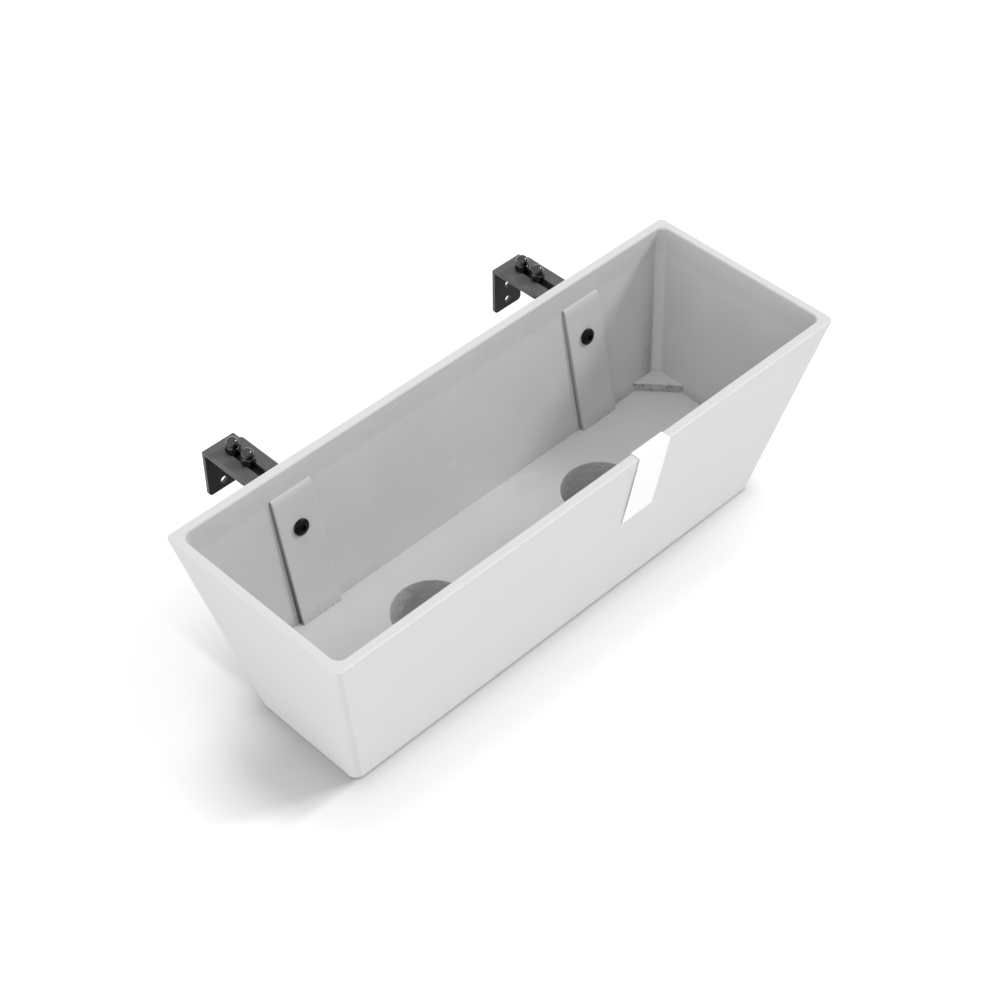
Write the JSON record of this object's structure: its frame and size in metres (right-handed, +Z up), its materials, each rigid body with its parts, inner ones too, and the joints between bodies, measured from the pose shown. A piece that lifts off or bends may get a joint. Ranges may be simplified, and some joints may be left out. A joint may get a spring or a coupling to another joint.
{
  "type": "hanging planter",
  "caption": "Tapered rectangular trough with a raised floor and drain wells, hung on adjustable steel railing brackets that slide and clamp with domed nuts.",
  "frame": {"origin": "middle of the base's underside", "axes": "+X along the length, +Y to the railing side, +Z up"},
  "size_m": [0.5994, 0.2984, 0.2107],
  "materials": {
    "stone_white": "fine stone-like matt moulding in white grey",
    "coated_steel": "satin anthracite powder coat",
    "dark_chrome": "bright dark plating",
    "black_oxide": "oiled black oxide",
    "card": "uncoated white card"
  },
  "bodies": {
    "planter": {"trough_shell": "stone_white", "raised_floor": "stone_white", "drain_well_left": "stone_white", "drain_well_right": "stone_white", "arm_left": "coated_steel", "arm_right": "coated_steel", "wall_screw_left": "black_oxide", "wall_screw_right": "black_oxide", "wall_nut_left": "black_oxide", "wall_nut_right": "black_oxide", "card_tag": "card"},
    "hook_left": {"hook_left": "coated_steel", "slot_screw_left_outer": "black_oxide", "slot_screw_left_inner": "black_oxide", "dome_nut_left_outer": "dark_chrome", "dome_nut_left_inner": "dark_chrome"},
    "hook_right": {"hook_right": "coated_steel", "slot_screw_right_outer": "black_oxide", "slot_screw_right_inner": "black_oxide", "dome_nut_right_outer": "dark_chrome", "dome_nut_right_inner": "dark_chrome"}
  },
  "joints": [
    {"name": "hook_left_slide", "type": "slide", "parent": "planter", "child": "hook_left", "axis": [0, 1, 0], "range_m": [-0.03, 0]},
    {"name": "hook_right_slide", "type": "slide", "parent": "planter", "child": "hook_right", "axis": [0, 1, 0], "range_m": [-0.03, 0]}
  ]
}
